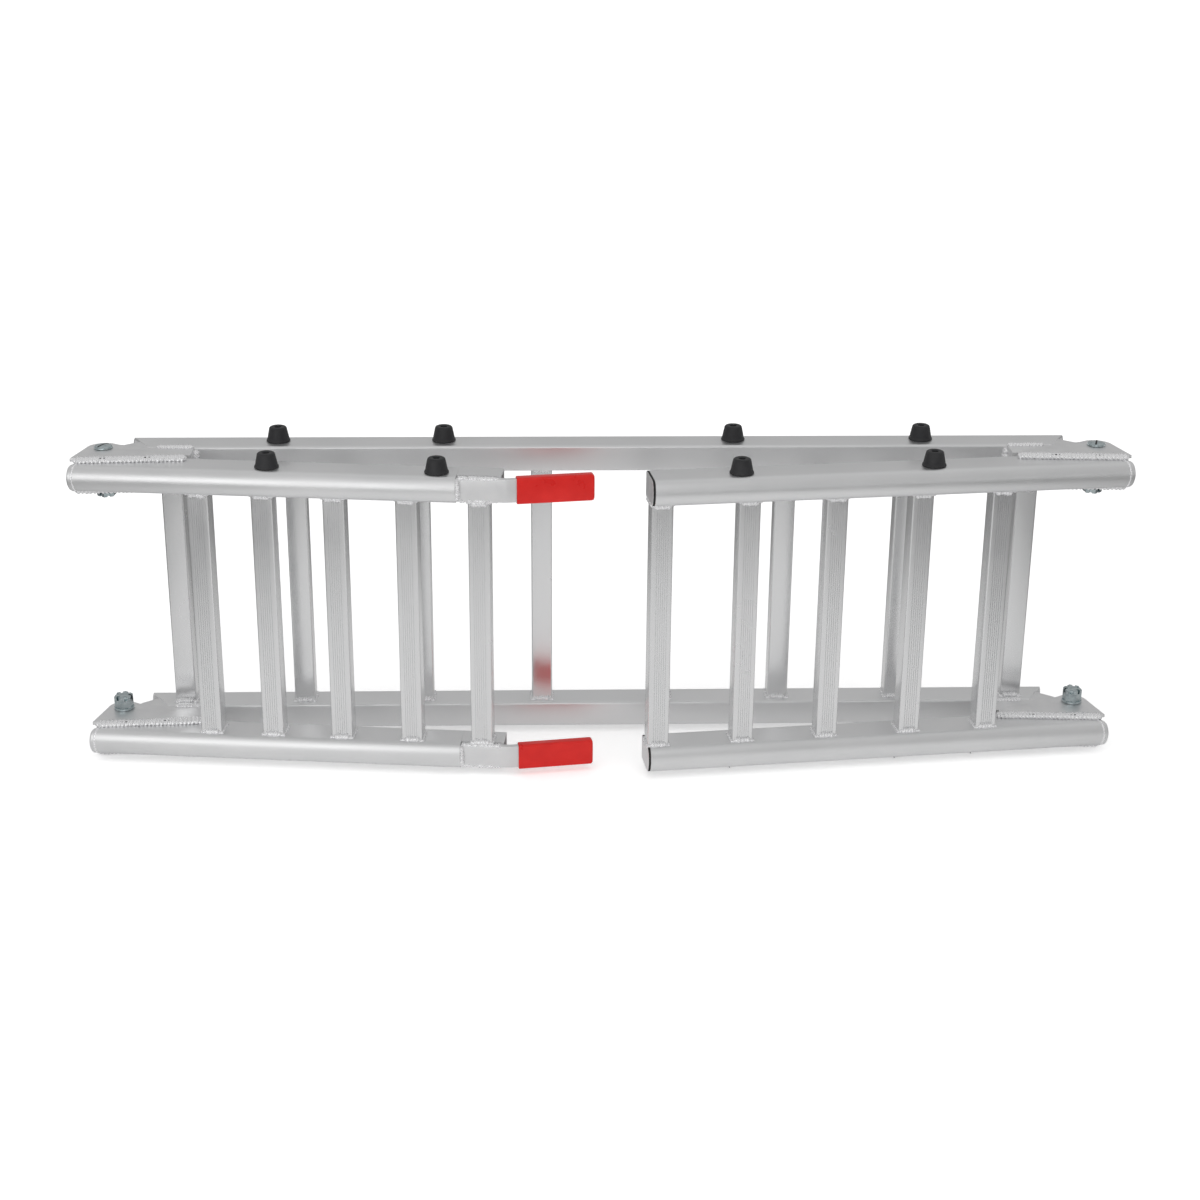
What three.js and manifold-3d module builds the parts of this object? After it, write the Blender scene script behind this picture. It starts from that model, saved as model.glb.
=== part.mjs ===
// Three-section folding loading ramp, standing on its side and partly folded.
// Millimetres. X runs along the ramp, Y is the depth and Z is the height, which is the ramp's width.
// The middle section is at the back with its underside towards -Y. The truck-end section, with the
// fingers, is folded in front of it on the -X side and the ground-end section on the +X side.
//
// Each section is drawn in the same local frame: x along the section, y from its underside to its
// tread, z across its width.
import * as THREE from 'three';
import { mergeVertices } from 'three/addons/utils/BufferGeometryUtils.js';
import Module from 'manifold-3d';

const wasm = await Module();
wasm.setup();

// Clearance between pieces that touch or slide on each other.
const GAP = 0.3;

// Rails: a D-shaped tube, flat on the sides and the underside, bulged on the tread side.
const WIDTH = 290;
const RAIL_HEIGHT = 25;
const RAIL_DEPTH = 38;
const RAIL_WALL = 2;
const RAIL_CAP = 3;
const RAIL_BACK_RADIUS = 2.5;
const RAIL_SHOULDER_RADIUS = 6;
const RAIL_CROWN_RADIUS = 18;
const ARC_STEPS = 5;
const UPPER_RAIL_Z = WIDTH - RAIL_HEIGHT;

// Rungs: square tube with a ribbed tread face.
const RUNG_WIDTH = 20;
const RUNG_UNDERSIDE = 9;
const RUNG_TREAD = 28.5;
const RUNG_WALL = 1.6;
const RUNG_RADIUS = 1.2;
const RIB_GROOVES = 6;
const RIB_PITCH = 2;
const RIB_DEPTH = 0.6;

// Hinges: pivots stand PIVOT_DEPTH off the underside of every section.
const PIVOT_DEPTH = 12.5;
const PIVOT_SPREAD = 466.35;
const MITRE_SLOPE = Math.tan(THREE.MathUtils.degToRad(29.5));
const MIDDLE_MITRE_START = 39.7;
const FOLDING_MITRE_START = -7.5;
const FOLDING_MITRE_SLOPE = Math.tan(THREE.MathUtils.degToRad(20.5));
const TRUCK_SPLAY = THREE.MathUtils.degToRad(6.34);
const GROUND_SPLAY = THREE.MathUtils.degToRad(6.58);

const PLATE_THICKNESS = 3;
const PLATE_LOBE_RADIUS = 16;
const PLATE_NECK = [[12, -24], [37, -20], [45, -12], [57, -12], [79, -1]];
const PLATE_WELD_EDGE = [[80, 5], [-21, 23]];
const LUG_LOBE_RADIUS = 12;
const LUG_END = 82;
const LUG_TOP = 19;
const LUG_WAIST = [13.5, 7];
const LUG_FRONT = PIVOT_DEPTH + LUG_LOBE_RADIUS;

const BOLT_RADIUS = 5;
const BOLT_CLEARANCE = 0.1;
const BOLT_HEAD_RADIUS = 8.7;
const BOLT_HEAD_HEIGHT = 3.2;
const BOLT_SLOT_WIDTH = 1.6;
const BOLT_SLOT_DEPTH = 1.2;
const NUT_FLANGE_RADIUS = 9.75;
const NUT_FLANGE_THICKNESS = 2;
const NUT_ACROSS_FLATS = 16;
const NUT_HEIGHT = 14;
const NUT_SLOT_DEPTH = 4;
const NUT_SLOT_WIDTH = 2.8;
const NUT_SLOTS = 6;
const ROUND_SEGMENTS = 32;

// Middle section.
const MIDDLE_RUNGS = 8;
const MIDDLE_RUNG_PITCH = 117;
const MIDDLE_BUMPERS = [-307.6, -151, 124.5, 304.7];

// Folding sections, measured from their pivots.
const TRUCK_RAIL_END = 377;
const TRUCK_RUNGS = [96.7, 156.5, 222.9, 289.9, 356.6];
const TRUCK_BUMPERS = [161.3, 317.6];
const GROUND_RAIL_END = 431.7;
const GROUND_RUNGS = [102, 178.9, 260.1, 342.2, 423.5];
const GROUND_BUMPERS = [168.4, 349.5];
const PLUG_DEPTH = 12;
const PLUG_FLANGE = 2.2;
const PLUG_FLANGE_INSET = 0.2;

// Fingers: flat bars let into the notched tread side of the truck-end rails and bent to the underside.
const FINGER_HEIGHT = 22;
const FINGER_THICKNESS = 5.5;
const FINGER_FACE = 31.5;
const FINGER_START = 337;
const FINGER_BEND = 383;
const FINGER_TIP = 457;
const FINGER_ANGLE = THREE.MathUtils.degToRad(15);
const SLEEVE_START = 391;
const SLEEVE_TIP = 460;
const SLEEVE_WALL = 1.6;
const SLEEVE_GAP = 0.4;

// Rubber bumpers: a cone on a flared foot with a recessed screw hole, standing on the upper rails.
const BUMPER_DEPTH = 20;
const BUMPER_PROFILE = [
  [0, 0], [11.25, 0], [11.25, 1.4], [10.2, 2.6], [8.3, 12.6], [7.6, 14], [3, 14], [3, 6], [0, 6],
];

const aluminium = new THREE.MeshStandardMaterial({ color: 0xc4c7c8, roughness: 0.42, metalness: 0.9 });
const zinc = new THREE.MeshStandardMaterial({ color: 0xaeb8be, roughness: 0.35, metalness: 0.9 });
const rubber = new THREE.MeshStandardMaterial({ color: 0x1b1c1e, roughness: 0.75, metalness: 0 });
const plugBlack = new THREE.MeshStandardMaterial({ color: 0x161616, roughness: 0.5, metalness: 0 });
const redVinyl = new THREE.MeshStandardMaterial({ color: 0xc62f2b, roughness: 0.35, metalness: 0 });

function namedMesh(name, geometry, material) {
  const mesh = new THREE.Mesh(geometry, material);
  mesh.name = name;
  return mesh;
}

function toSolid(geometry) {
  const bare = geometry.clone();
  bare.deleteAttribute('normal');
  bare.deleteAttribute('uv');
  const merged = mergeVertices(bare, 1e-4);
  const mesh = new wasm.Mesh({
    numProp: 3,
    vertProperties: Float32Array.from(merged.attributes.position.array),
    triVerts: Uint32Array.from(merged.index.array),
  });
  return new wasm.Manifold(mesh);
}

function toGeometry(solid) {
  const mesh = solid.getMesh();
  const indexed = new THREE.BufferGeometry();
  indexed.setAttribute('position', new THREE.BufferAttribute(Float32Array.from(mesh.vertProperties), 3));
  indexed.setIndex(new THREE.BufferAttribute(Uint32Array.from(mesh.triVerts), 1));
  const geometry = indexed.toNonIndexed();
  geometry.computeVertexNormals();
  return geometry;
}

function boxSolid(min, max) {
  const size = max.map((value, axis) => value - min[axis]);
  const geometry = new THREE.BoxGeometry(...size);
  geometry.translate(...min.map((value, axis) => value + size[axis] / 2));
  return toSolid(geometry);
}

function cylinderSolid(radius, bottom, top, segments = ROUND_SEGMENTS) {
  const geometry = new THREE.CylinderGeometry(radius, radius, top - bottom, segments);
  geometry.rotateX(Math.PI / 2);
  geometry.translate(0, 0, (top + bottom) / 2);
  return toSolid(geometry);
}

function arc(centre, radius, startDegrees, endDegrees, steps = ARC_STEPS) {
  const points = [];
  for (let step = 0; step <= steps; step += 1) {
    const degrees = startDegrees + (endDegrees - startDegrees) * (step / steps);
    const angle = THREE.MathUtils.degToRad(degrees);
    points.push([centre[0] + radius * Math.cos(angle), centre[1] + radius * Math.sin(angle)]);
  }
  return points;
}

// Turns an outline into a shape that always runs anticlockwise, whichever way it was mirrored.
function toShape(points) {
  const vectors = points.map(([x, y]) => new THREE.Vector2(x, y));
  if (THREE.ShapeUtils.isClockWise(vectors)) {
    vectors.reverse();
  }
  return new THREE.Shape(vectors);
}

// The rail's D outline moved inwards by inset, with x as the depth and y as the height.
function railOutline(inset) {
  const shoulderReach = RAIL_CROWN_RADIUS - RAIL_SHOULDER_RADIUS;
  const shoulderOffset = RAIL_HEIGHT / 2 - RAIL_SHOULDER_RADIUS;
  const crownCentre = [RAIL_DEPTH - RAIL_CROWN_RADIUS, RAIL_HEIGHT / 2];
  const shoulderX = crownCentre[0] + Math.sqrt(shoulderReach ** 2 - shoulderOffset ** 2);
  const crownAngle = THREE.MathUtils.radToDeg(Math.asin(shoulderOffset / shoulderReach));
  const backRadius = Math.max(RAIL_BACK_RADIUS - inset, 0.3);
  const backCentre = inset + backRadius;
  const shoulderRadius = RAIL_SHOULDER_RADIUS - inset;
  return [
    ...arc([backCentre, backCentre], backRadius, 180, 270, 3),
    ...arc([shoulderX, RAIL_SHOULDER_RADIUS], shoulderRadius, -90, -crownAngle),
    ...arc(crownCentre, RAIL_CROWN_RADIUS - inset, -crownAngle, crownAngle).slice(1, -1),
    ...arc([shoulderX, RAIL_HEIGHT - RAIL_SHOULDER_RADIUS], shoulderRadius, crownAngle, 90),
    ...arc([backCentre, RAIL_HEIGHT - backCentre], backRadius, 90, 180, 3),
  ];
}

// Extrudes a depth-height outline along x between two ends that may be mitred.
function extrudeAlong(shape, start, end) {
  const geometry = new THREE.ExtrudeGeometry(shape, { depth: 1, bevelEnabled: false });
  const position = geometry.attributes.position;
  for (let index = 0; index < position.count; index += 1) {
    const depth = position.getX(index);
    const height = position.getY(index);
    const fraction = position.getZ(index);
    const from = start.at + start.slope * depth;
    const to = end.at + end.slope * depth;
    position.setXYZ(index, from + (to - from) * fraction, depth, height);
  }
  geometry.computeVertexNormals();
  return geometry;
}

// Open tube between two mitred ends.
function railGeometry(start, end) {
  const shape = toShape(railOutline(0));
  shape.holes.push(toShape(railOutline(RAIL_WALL)));
  return extrudeAlong(shape, start, end);
}

// Tube closed by a cap across its hinge end and open at its free end; towardsEnd is +1 when the free
// end is the +x one.
function cappedRailGeometry(hingeEnd, freeEnd, towardsEnd) {
  const [start, end] = towardsEnd > 0 ? [hingeEnd, freeEnd] : [freeEnd, hingeEnd];
  const boreHinge = { at: hingeEnd.at + towardsEnd * RAIL_CAP, slope: hingeEnd.slope };
  const boreFree = { at: freeEnd.at + towardsEnd, slope: freeEnd.slope };
  const [boreStart, boreEnd] = towardsEnd > 0 ? [boreHinge, boreFree] : [boreFree, boreHinge];
  const outer = toSolid(extrudeAlong(toShape(railOutline(0)), start, end));
  const bore = toSolid(extrudeAlong(toShape(railOutline(RAIL_WALL)), boreStart, boreEnd));
  return outer.subtract(bore);
}

function rungOutline(inset, ribbed) {
  const radius = Math.max(RUNG_RADIUS - inset, 0.3);
  const side = RUNG_WIDTH / 2 - inset;
  const corner = side - radius;
  const low = RUNG_UNDERSIDE + inset;
  const high = RUNG_TREAD - inset;
  const points = [
    ...arc([-corner, low + radius], radius, 180, 270, 2),
    ...arc([corner, low + radius], radius, -90, 0, 2),
    ...arc([corner, high - radius], radius, 0, 90, 2),
  ];
  if (ribbed) {
    const first = ((RIB_GROOVES - 1) * RIB_PITCH) / 2;
    for (let groove = 0; groove < RIB_GROOVES; groove += 1) {
      const centre = first - groove * RIB_PITCH;
      points.push([centre + RIB_PITCH / 4, high]);
      points.push([centre, high - RIB_DEPTH]);
      points.push([centre - RIB_PITCH / 4, high]);
    }
  }
  points.push(...arc([-corner, high - radius], radius, 90, 180, 2));
  return points;
}

function rung(name, x) {
  const shape = toShape(rungOutline(0, true));
  shape.holes.push(toShape(rungOutline(RUNG_WALL, false)));
  const length = UPPER_RAIL_Z - RAIL_HEIGHT - 2 * GAP;
  const geometry = new THREE.ExtrudeGeometry(shape, { depth: length, bevelEnabled: false });
  geometry.translate(x, 0, RAIL_HEIGHT + GAP);
  return namedMesh(name, geometry, aluminium);
}

function bumper(name, x) {
  const profile = BUMPER_PROFILE.map(([radius, height]) => new THREE.Vector2(radius, height));
  const geometry = new THREE.LatheGeometry(profile, ROUND_SEGMENTS);
  geometry.rotateX(Math.PI / 2);
  geometry.translate(x, BUMPER_DEPTH, WIDTH + GAP);
  return namedMesh(name, geometry, rubber);
}

function plateGeometry(points, bottom, thickness) {
  const shape = toShape(points);
  const hole = new THREE.Path();
  hole.absarc(0, -PIVOT_DEPTH, BOLT_RADIUS + BOLT_CLEARANCE, 0, Math.PI * 2, true);
  shape.holes.push(hole);
  const geometry = new THREE.ExtrudeGeometry(shape, {
    depth: thickness, bevelEnabled: false, curveSegments: ROUND_SEGMENTS / 2,
  });
  geometry.translate(0, 0, bottom);
  return geometry;
}

// Hinge plate outline; towardsEnd is +1 when the section runs towards +x from its pivot.
function hingePlate(name, towardsEnd, bottom) {
  const lobe = arc([0, -PIVOT_DEPTH], PLATE_LOBE_RADIUS, 180, 285, 10);
  const outline = [...lobe, ...PLATE_NECK, ...PLATE_WELD_EDGE];
  const points = outline.map(([along, depth]) => [along * towardsEnd, depth]);
  return namedMesh(name, plateGeometry(points, bottom, PLATE_THICKNESS), aluminium);
}

// Lug welded into the middle rail's mitre; towardsMiddle is +1 on the -X side of the ramp.
function hingeLug(name, towardsMiddle, bottom) {
  const underside = -GAP;
  const mitreFoot = MIDDLE_MITRE_START - GAP - MITRE_SLOPE * underside;
  const outline = [
    ...arc([0, -PIVOT_DEPTH], LUG_LOBE_RADIUS, 45, 270, 12),
    [LUG_END, -LUG_FRONT],
    [LUG_END, underside],
    [mitreFoot, underside],
    [MIDDLE_MITRE_START - GAP - MITRE_SLOPE * LUG_TOP, LUG_TOP],
    LUG_WAIST,
  ];
  const points = outline.map(([along, depth]) => [along * towardsMiddle, depth]);
  return namedMesh(name, plateGeometry(points, bottom + GAP, RAIL_HEIGHT - 2 * GAP), aluminium);
}

// Slotted low head upwards with its seat at z = 0 and the shank below.
function boltGeometry(shankLength) {
  const profile = [
    [0, -shankLength], [BOLT_RADIUS - 0.6, -shankLength], [BOLT_RADIUS, 0.6 - shankLength],
    [BOLT_RADIUS, 0], [BOLT_HEAD_RADIUS, 0], [BOLT_HEAD_RADIUS, BOLT_HEAD_HEIGHT * 0.4],
    [BOLT_HEAD_RADIUS * 0.78, BOLT_HEAD_HEIGHT * 0.85], [BOLT_HEAD_RADIUS * 0.4, BOLT_HEAD_HEIGHT],
    [0, BOLT_HEAD_HEIGHT],
  ];
  const points = profile.map(([radius, height]) => new THREE.Vector2(radius, height));
  const lathe = new THREE.LatheGeometry(points, ROUND_SEGMENTS);
  lathe.rotateX(Math.PI / 2);
  const slot = boxSolid(
    [-BOLT_HEAD_RADIUS, -BOLT_SLOT_WIDTH / 2, BOLT_HEAD_HEIGHT - BOLT_SLOT_DEPTH],
    [BOLT_HEAD_RADIUS, BOLT_SLOT_WIDTH / 2, BOLT_HEAD_HEIGHT + 1],
  );
  return toGeometry(toSolid(lathe).subtract(slot));
}

// Castle nut with its flange at z = 0 and its slots towards -Z.
function nutGeometry() {
  const cornerRadius = NUT_ACROSS_FLATS / 2 / Math.cos(Math.PI / 6);
  const flange = cylinderSolid(NUT_FLANGE_RADIUS, -NUT_FLANGE_THICKNESS, 0);
  let nut = flange.add(cylinderSolid(cornerRadius, -NUT_HEIGHT, -NUT_FLANGE_THICKNESS / 2, 6));
  nut = nut.subtract(cylinderSolid(BOLT_RADIUS + BOLT_CLEARANCE, -NUT_HEIGHT - 1, 1));
  const slot = boxSolid(
    [0, -NUT_SLOT_WIDTH / 2, -NUT_HEIGHT - 1],
    [cornerRadius + 1, NUT_SLOT_WIDTH / 2, -NUT_HEIGHT + NUT_SLOT_DEPTH],
  );
  for (let index = 0; index < NUT_SLOTS; index += 1) {
    nut = nut.subtract(slot.rotate([0, 0, (index * 360) / NUT_SLOTS]));
  }
  return toGeometry(nut);
}

// Plates, bolt and nut of one hinge end. The upper hinge has its bolt head on top; the lower one is
// turned over. In the section frame the pivot is at x = 0.
function hingeEnd(prefix, towardsEnd, isUpper) {
  const end = new THREE.Group();
  end.name = `${prefix}_group`;
  const railZ = isUpper ? UPPER_RAIL_Z : 0;
  const above = railZ + RAIL_HEIGHT + GAP;
  const below = railZ - GAP - PLATE_THICKNESS;
  end.add(hingePlate(`${prefix}_outer_plate`, towardsEnd, isUpper ? above : below));
  end.add(hingePlate(`${prefix}_inner_plate`, towardsEnd, isUpper ? below : above));

  const stack = RAIL_HEIGHT + 2 * (2 * GAP + PLATE_THICKNESS);
  const bolt = namedMesh(`${prefix}_bolt`, boltGeometry(stack + NUT_HEIGHT - 1), zinc);
  const nut = namedMesh(`${prefix}_castle_nut`, nutGeometry(), zinc);
  const fasteners = new THREE.Group();
  fasteners.name = `${prefix}_fasteners`;
  nut.position.z = -stack;
  fasteners.add(bolt, nut);
  fasteners.position.set(0, -PIVOT_DEPTH, isUpper ? above + PLATE_THICKNESS + GAP : below - GAP);
  fasteners.rotation.x = isUpper ? 0 : Math.PI;
  end.add(fasteners);
  return end;
}

// Bar outline in length and depth: straight along the rail, then bent towards the underside.
function fingerBand(start, tip, faceDepth, thickness) {
  const middle = faceDepth - FINGER_THICKNESS / 2;
  const half = thickness / 2;
  const turn = half * Math.tan(FINGER_ANGLE / 2);
  const run = [Math.cos(FINGER_ANGLE), -Math.sin(FINGER_ANGLE)];
  const across = [Math.sin(FINGER_ANGLE), Math.cos(FINGER_ANGLE)];
  const slopedPoint = (along, side) => {
    const distance = (along - FINGER_BEND) / run[0];
    return [
      FINGER_BEND + run[0] * distance + across[0] * half * side,
      middle + run[1] * distance + across[1] * half * side,
    ];
  };
  if (start >= FINGER_BEND) {
    return [slopedPoint(start, -1), slopedPoint(tip, -1), slopedPoint(tip, 1), slopedPoint(start, 1)];
  }
  return [
    [start, middle - half], [FINGER_BEND - turn, middle - half], slopedPoint(tip, -1),
    slopedPoint(tip, 1), [FINGER_BEND + turn, middle + half], [start, middle + half],
  ];
}

function bandGeometry(points, bottom, height) {
  const shape = toShape(points.map(([along, depth]) => [-along, depth]));
  const geometry = new THREE.ExtrudeGeometry(shape, { depth: height, bevelEnabled: false });
  geometry.translate(0, 0, bottom);
  return geometry;
}

function fingerWithSleeve(prefix, railZ) {
  const bottom = railZ + (RAIL_HEIGHT - FINGER_HEIGHT) / 2;
  const barPoints = fingerBand(FINGER_START, FINGER_TIP, FINGER_FACE, FINGER_THICKNESS);
  const bar = bandGeometry(barPoints, bottom, FINGER_HEIGHT);

  const pocketSize = FINGER_THICKNESS + 2 * SLEEVE_GAP;
  const outerSize = pocketSize + 2 * SLEEVE_WALL;
  const outerPoints = fingerBand(SLEEVE_START, SLEEVE_TIP, FINGER_FACE, outerSize);
  const pocketPoints = fingerBand(SLEEVE_START - 2, FINGER_TIP + SLEEVE_GAP, FINGER_FACE, pocketSize);
  const outerHeight = FINGER_HEIGHT + 2 * SLEEVE_WALL - 1;
  const outer = bandGeometry(outerPoints, railZ + (RAIL_HEIGHT - outerHeight) / 2, outerHeight);
  const pocket = bandGeometry(pocketPoints, bottom - SLEEVE_GAP, FINGER_HEIGHT + 2 * SLEEVE_GAP);
  const sleeve = toGeometry(toSolid(outer).subtract(toSolid(pocket)));
  return [
    namedMesh(`${prefix}_finger`, bar, aluminium),
    namedMesh(`${prefix}_sleeve`, sleeve, redVinyl),
  ];
}

function foldingSection(prefix, towardsEnd, pivotX, rotation, rungs, bumpers) {
  const hinge = new THREE.Group();
  hinge.name = `${prefix}_hinge`;
  hinge.position.set(pivotX, -PIVOT_DEPTH, 0);
  hinge.rotation.z = rotation;
  const section = new THREE.Group();
  section.name = `${prefix}_section`;
  section.position.y = PIVOT_DEPTH;
  hinge.add(section);
  rungs.forEach((along, index) => {
    section.add(rung(`${prefix}_rung_${index + 1}`, along * towardsEnd));
  });
  bumpers.forEach((along, index) => {
    section.add(bumper(`${prefix}_bumper_${index + 1}`, along * towardsEnd));
  });
  section.add(hingeEnd(`${prefix}_upper_hinge`, towardsEnd, true));
  section.add(hingeEnd(`${prefix}_lower_hinge`, towardsEnd, false));
  return { hinge, section };
}

function placeRail(name, geometry, railZ, material = aluminium) {
  geometry.translate(0, 0, railZ);
  return namedMesh(name, geometry, material);
}

function middleSection() {
  const section = new THREE.Group();
  section.name = 'middle_section';
  const reach = PIVOT_SPREAD - MIDDLE_MITRE_START;
  for (const [level, railZ] of [['upper', UPPER_RAIL_Z], ['lower', 0]]) {
    const rail = railGeometry({ at: -reach, slope: -MITRE_SLOPE }, { at: reach, slope: MITRE_SLOPE });
    section.add(placeRail(`middle_${level}_rail`, rail, railZ));
    for (const [side, sign] of [['truck', -1], ['ground', 1]]) {
      const lug = hingeLug(`middle_${level}_${side}_lug`, -sign, railZ);
      lug.position.x = sign * PIVOT_SPREAD;
      section.add(lug);
    }
  }
  for (let index = 0; index < MIDDLE_RUNGS; index += 1) {
    const x = (index - (MIDDLE_RUNGS - 1) / 2) * MIDDLE_RUNG_PITCH;
    section.add(rung(`middle_rung_${index + 1}`, x));
  }
  MIDDLE_BUMPERS.forEach((x, index) => section.add(bumper(`middle_bumper_${index + 1}`, x)));
  return section;
}

function truckSection() {
  const rotation = Math.PI - TRUCK_SPLAY;
  const { hinge, section } = foldingSection(
    'truck', -1, -PIVOT_SPREAD, rotation, TRUCK_RUNGS, TRUCK_BUMPERS,
  );
  const notchDepth = FINGER_FACE - FINGER_THICKNESS - GAP;
  for (const [level, railZ] of [['upper', UPPER_RAIL_Z], ['lower', 0]]) {
    const rail = cappedRailGeometry(
      { at: -FOLDING_MITRE_START, slope: FOLDING_MITRE_SLOPE },
      { at: -TRUCK_RAIL_END, slope: 0 },
      -1,
    );
    const notch = boxSolid(
      [-TRUCK_RAIL_END - 1, notchDepth, -1],
      [-FINGER_START + GAP, RAIL_DEPTH + 1, RAIL_HEIGHT + 1],
    );
    section.add(placeRail(`truck_${level}_rail`, toGeometry(rail.subtract(notch)), railZ));
    section.add(...fingerWithSleeve(`truck_${level}`, railZ));
  }
  return hinge;
}

// Plug with a stub inside the rail and a flange over its rim.
function plugGeometry() {
  const flangeStart = GROUND_RAIL_END + GAP;
  const stub = extrudeAlong(
    toShape(railOutline(RAIL_WALL + GAP)),
    { at: GROUND_RAIL_END - PLUG_DEPTH, slope: 0 },
    { at: flangeStart + PLUG_FLANGE / 2, slope: 0 },
  );
  const flange = extrudeAlong(
    toShape(railOutline(PLUG_FLANGE_INSET)),
    { at: flangeStart, slope: 0 },
    { at: flangeStart + PLUG_FLANGE, slope: 0 },
  );
  return toGeometry(toSolid(stub).add(toSolid(flange)));
}

function groundSection() {
  const rotation = Math.PI + GROUND_SPLAY;
  const { hinge, section } = foldingSection(
    'ground', 1, PIVOT_SPREAD, rotation, GROUND_RUNGS, GROUND_BUMPERS,
  );
  for (const [level, railZ] of [['upper', UPPER_RAIL_Z], ['lower', 0]]) {
    const rail = cappedRailGeometry(
      { at: FOLDING_MITRE_START, slope: -FOLDING_MITRE_SLOPE },
      { at: GROUND_RAIL_END, slope: 0 },
      1,
    );
    section.add(placeRail(`ground_${level}_rail`, toGeometry(rail), railZ));
    section.add(placeRail(`ground_${level}_plug`, plugGeometry(), railZ, plugBlack));
  }
  return hinge;
}

// Stands the ramp on z = 0 with x and y centred.
function centreOnFloor(object) {
  object.updateMatrixWorld(true);
  const box = new THREE.Box3().setFromObject(object, true);
  const centre = box.getCenter(new THREE.Vector3());
  object.position.set(-centre.x, -centre.y, -box.min.z);
}

const ramp = new THREE.Group();
ramp.name = 'folding_ramp';
ramp.add(middleSection(), truckSection(), groundSection());
centreOnFloor(ramp);

export default ramp;
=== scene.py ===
"""Looks for the folding loading ramp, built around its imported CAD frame.

Shapes are drawn in millimetres in each section's own frame: x along the section, y from its
underside to its tread and z across its width. Section frames place them in the row frame.
"""

import math
import random

import bmesh
import bpy
from mathutils import Matrix, Vector
from mathutils.geometry import tessellate_polygon


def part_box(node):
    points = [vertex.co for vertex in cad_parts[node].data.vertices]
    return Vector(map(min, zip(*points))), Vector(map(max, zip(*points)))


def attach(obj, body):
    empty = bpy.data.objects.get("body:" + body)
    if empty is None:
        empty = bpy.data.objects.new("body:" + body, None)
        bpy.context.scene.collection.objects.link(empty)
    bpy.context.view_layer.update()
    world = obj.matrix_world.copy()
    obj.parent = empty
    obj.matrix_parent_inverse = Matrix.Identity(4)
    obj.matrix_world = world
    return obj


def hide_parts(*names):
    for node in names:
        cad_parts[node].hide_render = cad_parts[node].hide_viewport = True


MM = 0.001
SEED = 7

# Rails
WIDTH = 290.0
RAIL_HEIGHT = 25.0
RAIL_DEPTH = 38.0
RAIL_WALL = 2.0
RAIL_BACK_RADIUS = 2.5
RAIL_SHOULDER_RADIUS = 6.0
RAIL_CROWN_RADIUS = 18.0
RAIL_RIM = 0.35
RAIL_CAP = 3.0
RAIL_CAP_ROUNDING = 2.4
RAIL_CAP_SEAM = 5.5
UPPER_RAIL_Z = WIDTH - RAIL_HEIGHT
LEVELS = (("upper", UPPER_RAIL_Z), ("lower", 0.0))

# Rungs
RUNG_WIDTH = 20.0
RUNG_UNDERSIDE = 9.0
RUNG_TREAD = 28.5
RUNG_RADIUS = 1.4
RIB_GROOVES = 6
RIB_PITCH = 2.0
RIB_DEPTH = 1.0
# Vents: small black strips of painted shade standing for slots beside some ground-section rungs
RUNG_VENT = (3.4, 4.6)
VENT_DROP = 2.0
VENT_SINK = 0.5
VENT_PROUD = 0.04
VENTED_RUNGS = (0, 1, 3)

# Hinges
PIVOT_DEPTH = 12.5
PIVOT_SPREAD = 466.35
MITRE_SLOPE = math.tan(math.radians(29.5))
MIDDLE_MITRE_START = 39.7
FOLDING_MITRE_START = -7.5
FOLDING_MITRE_SLOPE = math.tan(math.radians(20.5))
TRUCK_SPLAY = math.radians(6.34)
GROUND_SPLAY = math.radians(6.58)
GAP = 0.3
PLATE_THICKNESS = 3.0
PLATE_LOBE_RADIUS = 16.0
PLATE_NECK = [(12, -24), (37, -20), (45, -12), (57, -12), (79, -1)]
PLATE_WELD_EDGE = [(80, 5), (-21, 23)]
LUG_LOBE_RADIUS = 12.0
LUG_END = 82.0
LUG_BEAD_START = 47.0
LUG_TOP = 19.0
LUG_WAIST = (13.5, 7)
LUG_FRONT = PIVOT_DEPTH + LUG_LOBE_RADIUS
# Short black strips of painted shade beside each plate weld, standing for slots at the weld
PLATE_SLOTS = (0.27, 0.66)
PLATE_SLOT_SHIFT = 1.6
PLATE_SLOT_HALF_LENGTH = 3.4
PLATE_SLOT_HALF_WIDTH = 0.35
PLATE_SLOT_FOOT = 0.5
PLATE_SLOT_TOP = PLATE_THICKNESS + 1.35

# Bolts and castle nuts
BOLT_RADIUS = 5.0
BOLT_CLEARANCE = 0.1
BOLT_HEAD_RADIUS = 8.65
BOLT_HEAD_HEIGHT = 3.2
BOLT_HEAD_SIDE = 1.5
BOLT_HEAD_EDGE = 0.3
# The bolt head's slot is a black strip of painted shade laid just proud of the dome
BOLT_SLOT_WIDTH = 1.5
BOLT_SLOT_MARGIN = 1.2
BOLT_SLOT_DEPTH = 0.8
BOLT_SLOT_PROUD = 0.05
BOLT_SLOT_TURN = 65.0
NUT_FLANGE_RADIUS = 9.7
NUT_FLANGE_THICKNESS = 2.0
NUT_ACROSS_FLATS = 16.0
NUT_HEIGHT = 14.0
NUT_SLOT_DEPTH = 4.0
NUT_SLOT_WIDTH = 2.8

# Rungs, bumpers and rail ends along each section, and the ground section's end plugs
MIDDLE_RUNGS = [(index - 3.5) * 117.0 for index in range(8)]
MIDDLE_BUMPERS = [-307.6, -151.0, 124.5, 304.7]
TRUCK_RAIL_END = 377.0
TRUCK_RUNGS = [96.7, 156.5, 222.9, 289.9, 356.6]
TRUCK_BUMPERS = [161.3, 317.6]
GROUND_RAIL_END = 431.7
GROUND_RUNGS = [102.0, 178.9, 260.1, 342.2, 423.5]
GROUND_BUMPERS = [168.4, 349.5]
PLUG_DEPTH = 12.0
PLUG_FLANGE = 2.2
PLUG_FLANGE_INSET = 0.2
PLUG_FACE = 0.4

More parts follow.
